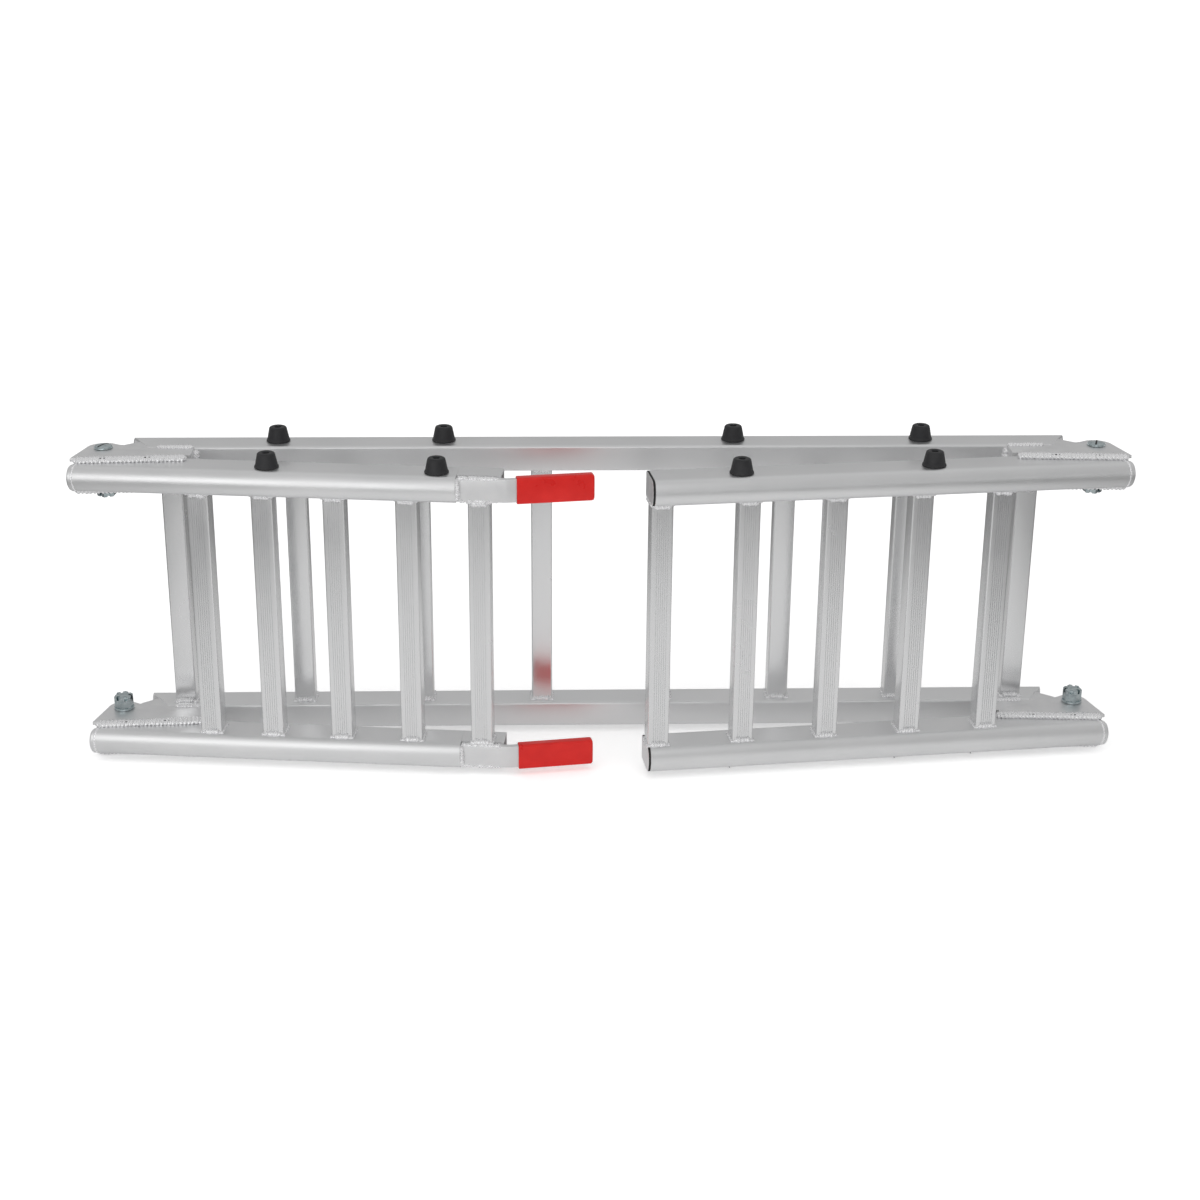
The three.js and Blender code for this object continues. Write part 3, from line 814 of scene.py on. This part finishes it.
def add_hinge(section, level, rail_z):
    """Two plates, bolt and castle nut on one rail of a folding section, with the plates' welds."""
    side = SECTIONS[section][1]
    upper = level == "upper"
    prefix = f"{section}_{level}_hinge"
    above = rail_z + RAIL_HEIGHT + GAP
    below = rail_z - GAP - PLATE_THICKNESS
    outline = [(x * side, y) for x, y in plate_outline()]
    welds = Shape()
    painted_slot_shades = Shape()
    for place, bottom in (("outer", above if upper else below), ("inner", below if upper else above)):
        plate = bored_slab(outline, (0, -PIVOT_DEPTH), bottom, bottom + PLATE_THICKNESS)
        finish_piece(plate, f"{prefix}_{place}_plate", PLATE, "plate_aluminium", section, bevel=0.5)
        up = 1 if bottom > rail_z else -1
        face = rail_z + RAIL_HEIGHT if up > 0 else rail_z
        (x0, y0), (x1, y1) = PLATE_WELD_EDGE
        start = Vector(((x0 + 4) * side, y0 + 1.6, face + up * 2.0))
        end = Vector(((x1 + 3) * side, y1 + 1.6, face + up * 2.0))
        rng = random.Random(f"{prefix}{place}")
        slant = Vector((0, 0.35, up))
        bead(welds, [start, end], lambda _, slant=slant: slant, rng, **PLATE_BEAD)
        # Painted shade: two short black strips beside the bead, standing for slots
        for share in PLATE_SLOTS:
            centre = end.lerp(start, share) + Vector((0, PLATE_SLOT_SHIFT, 0))
            length = (start - end).normalized() * PLATE_SLOT_HALF_LENGTH
            across = Vector((0, PLATE_SLOT_HALF_WIDTH, 0))
            corners = [centre - length - across, centre + length - across,
                       centre + length + across, centre - length + across]
            outline_of_slot = [(corner.x, corner.y) for corner in corners]
            slab(painted_slot_shades, outline_of_slot, face + up * PLATE_SLOT_FOOT, face + up * PLATE_SLOT_TOP)
    detail_piece(welds, f"{prefix}_welds", WELD, "plate_aluminium", section, smooth=60)
    detail_piece(painted_slot_shades, f"{prefix}_weld_slot_shades", BLACK_AND_SLOT_SHADE, "plate_aluminium", section)

    stack = RAIL_HEIGHT + 2 * (2 * GAP + PLATE_THICKNESS)
    seat_z = above + PLATE_THICKNESS + GAP if upper else below - GAP
    flip = 1 if upper else -1

    def to_section(point):
        return (point[0], point[1] * flip - PIVOT_DEPTH, seat_z + point[2] * flip)

    bolt = bolt_shape(stack + NUT_HEIGHT - 1, to_section)
    finish_piece(bolt, f"{prefix}_bolt", ZINC, "zinc_steel", section)
    # Painted shade: a black strip where the head's slot is
    slot = bolt_slot_shade(to_section)
    detail_piece(slot, f"{prefix}_bolt_slot_shade", BLACK_AND_SLOT_SHADE, "zinc_steel", section)
    nut = nut_shape(-stack, to_section)
    finish_piece(nut, f"{prefix}_castle_nut", ZINC, "zinc_steel", section, smooth=25)


def add_lug(side, side_name, level, rail_z):
    """Lug on one end of a middle rail, with its welds."""
    outline = [(-side * x + side * PIVOT_SPREAD, y) for x, y in lug_outline()]
    pivot = (side * PIVOT_SPREAD, -PIVOT_DEPTH)
    shape = bored_slab(outline, pivot, rail_z + GAP, rail_z + RAIL_HEIGHT - GAP)
    node = f"middle_{level}_{side_name}_lug"
    finish_piece(shape, node, PLATE, "plate_aluminium", "middle", bevel=0.6)
    welds = Shape()
    rng = random.Random(node)

    def at(x, y, z):
        return (-side * x + side * PIVOT_SPREAD, y, z)

    foot = MIDDLE_MITRE_START
    for z, up in ((rail_z + RAIL_HEIGHT, 1), (rail_z, -1)):
        seam = [at(foot - MITRE_SLOPE * (LUG_TOP - 1) + 2, LUG_TOP - 1, z - up * 1.3),
                at(foot + 2, 0, z - up * 1.3)]
        bead(welds, seam, lambda _, up=up: (0, 0, up), rng, **LUG_SEAM_BEAD)
        corner = [at(LUG_BEAD_START, -1.0, z + up * 0.3), at(LUG_END, -1.0, z + up * 0.3)]
        bead(welds, corner, lambda _, up=up: (0, -0.3, up), rng, **LUG_EDGE_BEAD)
    end = [at(LUG_END + 1.2, -1.6, rail_z + 2.5), at(LUG_END + 1.2, -1.6, rail_z + RAIL_HEIGHT - 2.5)]
    bead(welds, end, lambda _: (-side, -1, 0), rng, **LUG_END_BEAD)
    detail_piece(welds, f"{node}_welds", WELD, "plate_aluminium", "middle", smooth=60)


def add_middle():
    reach = PIVOT_SPREAD - MIDDLE_MITRE_START
    for level, rail_z in LEVELS:
        shape = rail_shape(-reach, -MITRE_SLOPE, reach, MITRE_SLOPE, rail_z)
        finish_piece(shape, f"middle_{level}_rail", RAIL, "rail_aluminium", "middle")
        for side, side_name in ((-1, "truck"), (1, "ground")):
            add_lug(side, side_name, level, rail_z)
    add_rungs("middle", MIDDLE_RUNGS)
    add_bumpers("middle", MIDDLE_BUMPERS)


def notched_end(shape, rail_z):
    """The rail's open channel behind the finger: the D outline without its tread side."""
    cut = FINGER_FACE - FINGER_THICKNESS - GAP
    high = RAIL_HEIGHT
    outline = [(cut, 0.0), (cut, RAIL_WALL)]
    outline += [(RAIL_WALL, RAIL_WALL), (RAIL_WALL, high - RAIL_WALL), (cut, high - RAIL_WALL), (cut, high)]
    outline += arc((RAIL_BACK_RADIUS, high - RAIL_BACK_RADIUS), RAIL_BACK_RADIUS, 90, 180, 6)
    outline += arc((RAIL_BACK_RADIUS, RAIL_BACK_RADIUS), RAIL_BACK_RADIUS, 180, 270, 6)
    rings = []
    for x in (-TRUCK_RAIL_END, -FINGER_START + GAP):
        rings.append([(x, depth, height + rail_z) for depth, height in outline])
    shape.loft(rings, caps=True)


def bar_rings(start, tip, half_thickness, low, high, rounding, steps=3):
    """Rings of a rounded rectangular section swept along the finger's centre line."""
    line = finger_line(start, tip)
    rings = []
    for index, point in enumerate(line):
        before = Vector(line[max(index - 1, 0)])
        after = Vector(line[min(index + 1, len(line) - 1)])
        along = (after - before).normalized()
        across = Vector((-along.y, along.x))
        ring = []
        middle = (low + high) / 2
        tall = (high - low) / 2
        for corner, (sx, sy) in enumerate(((1, 1), (-1, 1), (-1, -1), (1, -1))):
            for step in range(steps + 1):
                angle = math.radians(90 * corner + 90 * step / steps)
                out = sx * (half_thickness - rounding) + rounding * math.cos(angle)
                up = sy * (tall - rounding) + rounding * math.sin(angle)
                spot = Vector(point) + across * out
                ring.append((-spot.x, spot.y, middle + up))
        rings.append(ring)
    return rings


def add_finger(level, rail_z):
    """Bent finger, its red sleeve and its welds."""
    low = rail_z + (RAIL_HEIGHT - FINGER_HEIGHT) / 2
    high = low + FINGER_HEIGHT
    half = FINGER_THICKNESS / 2
    bar = Shape().loft(bar_rings(FINGER_START, FINGER_TIP, half, low, high, 0.6), caps=True)
    finish_piece(bar, f"truck_{level}_finger", PLATE, "plate_aluminium", "truck")

    grow = SLEEVE_PROUD
    outer = bar_rings(SLEEVE_START, SLEEVE_TIP, half + grow, low - grow + 0.5, high + grow - 0.5, 1.8, 6)
    lip = bar_rings(SLEEVE_START, SLEEVE_TIP, half + grow - 0.5, low - grow + 1, high + grow - 1, 1.5, 6)
    bore = bar_rings(SLEEVE_START, SLEEVE_TIP, half + 0.3, low - 0.3, high + 0.3, 0.8, 6)
    first, last = outer[0], outer[-1]
    rings = [deeper(bore[0], last, 0.2), bore[0], lip[0]]
    for share in (0.008, 0.03, 0.06, 0.3, 0.6, 0.9, 0.965):
        rings.append(deeper(first, last, share))
    for share, shrink in ((0.985, 0.97), (0.996, 0.88), (1.0, 0.72)):
        rings.append(shrunk(deeper(first, last, share), shrink))
    sleeve = Shape().loft(rings, caps=True)
    finish_piece(sleeve, f"truck_{level}_sleeve", VINYL, "red_vinyl", "truck", smooth=50)

    welds = Shape()
    rng = random.Random(f"finger{level}")
    face = FINGER_FACE + 1.0
    start = [(-FINGER_START + 0.6, face, low + 0.5), (-FINGER_START + 0.6, face, high - 0.5)]
    bead(welds, start, lambda _: (0.4, 1, 0), rng, **FINGER_START_BEAD)
    for z, up in ((high, 1), (low, -1)):
        edge = [(-FINGER_START, face - 3.0, z - up * 0.4), (-TRUCK_RAIL_END + 1, face - 3.0, z - up * 0.4)]
        bead(welds, edge, lambda _, up=up: (0, 0.3, up), rng, **FINGER_EDGE_BEAD)
    detail_piece(welds, f"truck_{level}_finger_welds", WELD, "plate_aluminium", "truck", smooth=60)


def deeper(first, last, share):
    """Ring part of the way from the first ring to the last."""
    return [tuple(Vector(a).lerp(Vector(b), share)) for a, b in zip(first, last)]


def shrunk(ring, factor):
    """Ring drawn in towards its centre."""
    centre = sum((Vector(point) for point in ring), Vector()) / len(ring)
    return [tuple(centre + (Vector(point) - centre) * factor) for point in ring]


def add_truck():
    for level, rail_z in LEVELS:
        shape = capped_rail_shape(
            -FOLDING_MITRE_START, FOLDING_MITRE_SLOPE, -FINGER_START + GAP, -1, rail_z
        )
        notched_end(shape, rail_z)
        finish_piece(shape, f"truck_{level}_rail", RAIL, "rail_aluminium", "truck")
        add_cap_seam("truck", level, rail_z)
        add_finger(level, rail_z)
        add_hinge("truck", level, rail_z)
    add_rungs("truck", [-along for along in TRUCK_RUNGS])
    add_bumpers("truck", [-along for along in TRUCK_BUMPERS])


def add_cap_seam(section, level, rail_z):
    """Low weld seam round the hinge end of a folding section's rail, behind its cap."""
    side = SECTIONS[section][1]
    start = FOLDING_MITRE_START + RAIL_CAP_SEAM
    loop = []
    for depth, height in rail_outline(0):
        loop.append((side * (start - FOLDING_MITRE_SLOPE * depth), depth, height + rail_z))
    centre = Vector((side * start, RAIL_DEPTH / 2, rail_z + RAIL_HEIGHT / 2))

    def lift(point):
        away = point - centre
        return (0, away.y, away.z)

    seam = Shape()
    rng = random.Random(f"{section}{level}seam")
    bead(seam, loop, lift, rng, closed=True, **CAP_SEAM_BEAD)
    detail_piece(seam, f"{section}_{level}_cap_seam", WELD, "rail_aluminium", section, smooth=60)


def add_plug(level, rail_z):
    """Black plug with a flange over the rail's rim and a thin aluminium face."""
    flange = GROUND_RAIL_END + GAP
    tip = flange + PLUG_FLANGE - PLUG_FACE
    stub = RAIL_WALL + GAP
    rings = []
    for x, inset in (
        (GROUND_RAIL_END - PLUG_DEPTH, stub), (flange, stub),
        (flange, PLUG_FLANGE_INSET), (tip, PLUG_FLANGE_INSET),
    ):
        rings.append([(x, depth, height + rail_z) for depth, height in rail_outline(inset)])
    plug = Shape().loft(rings, caps=True)
    finish_piece(plug, f"ground_{level}_plug", BLACK_AND_SLOT_SHADE, "plug_black", "ground")
    face = Shape()
    rings = []
    for x, inset in ((tip, 0.3), (tip + PLUG_FACE - 0.2, 0.3), (tip + PLUG_FACE, 0.6)):
        rings.append([(x, depth, height + rail_z) for depth, height in rail_outline(inset)])
    face.loft(rings, caps=True)
    detail_piece(face, f"ground_{level}_plug_face", PLATE, "plug_black", "ground")


def add_vents():
    """Small black strips of painted shade, standing for slots beside some rungs.

    Known fault: they are meant to lie on the rungs just below the upper rail, but their height is
    taken from the lower rail, so they hang under it. UPPER_RAIL_Z is the height that was meant.
    """
    depth, height = RUNG_VENT
    middle = (RUNG_UNDERSIDE + RUNG_TREAD) / 2
    lower_rail_z = LEVELS[1][1]
    top = lower_rail_z - VENT_DROP
    painted_slot_shades = Shape()
    for index in VENTED_RUNGS:
        x = GROUND_RUNGS[index] + RUNG_WIDTH / 2
        outline = [
            (x - VENT_SINK, middle - depth / 2), (x + VENT_PROUD, middle - depth / 2),
            (x + VENT_PROUD, middle + depth / 2), (x - VENT_SINK, middle + depth / 2),
        ]
        slab(painted_slot_shades, outline, top - height, top)
    detail_piece(painted_slot_shades, "ground_rung_vent_shades", BLACK_AND_SLOT_SHADE, "rung_aluminium", "ground")


def add_ground():
    for level, rail_z in LEVELS:
        shape = capped_rail_shape(
            FOLDING_MITRE_START, -FOLDING_MITRE_SLOPE, GROUND_RAIL_END, 1, rail_z
        )
        finish_piece(shape, f"ground_{level}_rail", RAIL, "rail_aluminium", "ground")
        add_cap_seam("ground", level, rail_z)
        add_plug(level, rail_z)
        add_hinge("ground", level, rail_z)
    add_rungs("ground", GROUND_RUNGS)
    add_vents()
    add_bumpers("ground", GROUND_BUMPERS)


add_middle()
add_truck()
add_ground()


# ---------------------------------------------------------------- floor, light and camera

def add_floor():
    """Plain white floor with a faint even glow."""
    mesh = bpy.data.meshes.new("floor")
    size = FLOOR_HALF_SIZE
    mesh.from_pydata(
        [(-size, -size, 0), (size, -size, 0), (size, size, 0), (-size, size, 0)], [], [(0, 1, 2, 3)]
    )
    material, _, shader = node_material("floor_white", 0.0, 0.9, (FLOOR_TONE, FLOOR_TONE, FLOOR_TONE))
    shader.inputs["Specular IOR Level"].default_value = 0.0
    shader.inputs["Emission Color"].default_value = (1, 1, 1, 1)
    shader.inputs["Emission Strength"].default_value = FLOOR_GLOW
    mesh.materials.append(material)
    floor = bpy.data.objects.new("floor", mesh)
    bpy.context.scene.collection.objects.link(floor)


def add_sun(name, direction, strength):
    """Even light for the floor and the matt parts, kept out of the metal's reflections."""
    azimuth, elevation = (math.radians(value) for value in direction)
    away = Vector((
        math.sin(azimuth) * math.cos(elevation),
        -math.cos(azimuth) * math.cos(elevation),
        math.sin(elevation),
    ))
    data = bpy.data.lights.new(name, "SUN")
    data.energy = strength
    data.angle = math.radians(SUN_SPREAD)
    light = bpy.data.objects.new(name, data)
    light.location = away * SUN_DISTANCE
    light.rotation_mode = "QUATERNION"
    light.rotation_quaternion = (-away).to_track_quat("-Z", "Y")
    light.visible_glossy = False
    bpy.context.scene.collection.objects.link(light)


def add_world():
    """Studio dome that brightens with height, and a plain white backdrop for the camera alone."""
    world = bpy.data.worlds.new("studio")
    world.use_nodes = True
    nodes, links = world.node_tree.nodes, world.node_tree.links
    coordinates = nodes.new("ShaderNodeTexCoord")
    split = nodes.new("ShaderNodeSeparateXYZ")
    links.new(coordinates.outputs["Generated"], split.inputs["Vector"])
    strength = nodes.new("ShaderNodeMath")
    strength.operation = "MULTIPLY_ADD"
    links.new(split.outputs["Z"], strength.inputs[0])
    strength.inputs[1].default_value = DOME_RISE
    strength.inputs[2].default_value = DOME_LEVEL
    background = nodes["Background"]
    background.inputs["Color"].default_value = (1, 1, 1, 1)
    seen = nodes.new("ShaderNodeLightPath")
    chosen = nodes.new("ShaderNodeMix")
    chosen.inputs["B"].default_value = BACKDROP_LEVEL
    links.new(seen.outputs["Is Camera Ray"], chosen.inputs["Factor"])
    links.new(strength.outputs["Value"], chosen.inputs["A"])
    links.new(chosen.outputs["Result"], background.inputs["Strength"])
    bpy.context.scene.world = world


def add_card(name, corners, material):
    """Flat studio card that only shows in reflections."""
    mesh = bpy.data.meshes.new(name)
    mesh.from_pydata(corners, [], [(0, 1, 2, 3)])
    mesh.materials.append(material)
    card = bpy.data.objects.new(name, mesh)
    card.visible_camera = False
    card.visible_diffuse = False
    card.visible_shadow = False
    bpy.context.scene.collection.objects.link(card)


def card_material(name, strength):
    """Emission mixed with transparency; returns the material, its tree and the mix node."""
    material = bpy.data.materials.new(name)
    material.use_nodes = True
    nodes, links = material.node_tree.nodes, material.node_tree.links
    nodes.remove(nodes["Principled BSDF"])
    emission = nodes.new("ShaderNodeEmission")
    emission.inputs["Strength"].default_value = strength
    clear = nodes.new("ShaderNodeBsdfTransparent")
    mix = nodes.new("ShaderNodeMixShader")
    mix.inputs["Fac"].default_value = 1.0
    links.new(clear.outputs["BSDF"], mix.inputs[1])
    links.new(emission.outputs["Emission"], mix.inputs[2])
    links.new(mix.outputs["Shader"], nodes["Material Output"].inputs["Surface"])
    return material, material.node_tree, mix


def add_floor_shade():
    """Shade over the floor that deepens evenly around the pool of light, seen only in the metal."""
    material, tree, mix = card_material("floor_shade", 0.0)
    coordinates = tree.nodes.new("ShaderNodeTexCoord")
    distance = tree.nodes.new("ShaderNodeVectorMath")
    distance.operation = "DISTANCE"
    distance.inputs[1].default_value = POOL_CENTRE
    tree.links.new(coordinates.outputs["Object"], distance.inputs[0])
    shade = tree.nodes.new("ShaderNodeMapRange")
    shade.interpolation_type = "SMOOTHSTEP"
    shade.inputs["From Min"].default_value = POOL_INNER
    shade.inputs["From Max"].default_value = POOL_OUTER
    shade.inputs["To Min"].default_value = POOL_SHADE_INSIDE
    shade.inputs["To Max"].default_value = POOL_SHADE_OUTSIDE
    tree.links.new(distance.outputs["Value"], shade.inputs["Value"])
    tree.links.new(shade.outputs["Result"], mix.inputs["Fac"])
    side, lift = SHADE_HALF_SIZE, SHADE_LIFT
    corners = [(-side, -side, lift), (side, -side, lift), (side, side, lift), (-side, side, lift)]
    add_card("floor_shade", corners, material)


def add_softbox(name, left, right, distance, low, high, strength):
    """Upright bright card in front of the ramp."""
    material, _, _ = card_material(name, strength)
    corners = [
        (left, -distance, low), (right, -distance, low),
        (right, -distance, high), (left, -distance, high),
    ]
    add_card(name, corners, material)


def add_camera():
    """Camera at the viewing angle, from its yaw, pitch and roll."""
    yaw, pitch, roll = CAMERA_YAW, CAMERA_PITCH, CAMERA_ROLL
    forward = Vector((
        math.sin(yaw) * math.cos(pitch), math.cos(yaw) * math.cos(pitch), -math.sin(pitch),
    ))
    level_right = Vector((math.cos(yaw), -math.sin(yaw), 0))
    level_up = level_right.cross(forward)
    right = math.cos(roll) * level_right + math.sin(roll) * level_up
    up = -math.sin(roll) * level_right + math.cos(roll) * level_up
    turn = Matrix((right, up, -forward)).transposed().to_4x4()
    data = bpy.data.cameras.new("camera")
    data.sensor_width = SENSOR_WIDTH
    data.lens = CAMERA_LENS
    camera = bpy.data.objects.new("camera", data)
    camera.matrix_world = Matrix.Translation(CAMERA_PLACE) @ turn
    bpy.context.scene.collection.objects.link(camera)
    bpy.context.scene.camera = camera


add_floor()
add_floor_shade()
add_world()
for sun in SUNS:
    add_sun(*sun)
for softbox in SOFTBOXES:
    add_softbox(*softbox)
add_camera()
bpy.context.scene.view_settings.view_transform = "Standard"

bpy.context.view_layer.update()
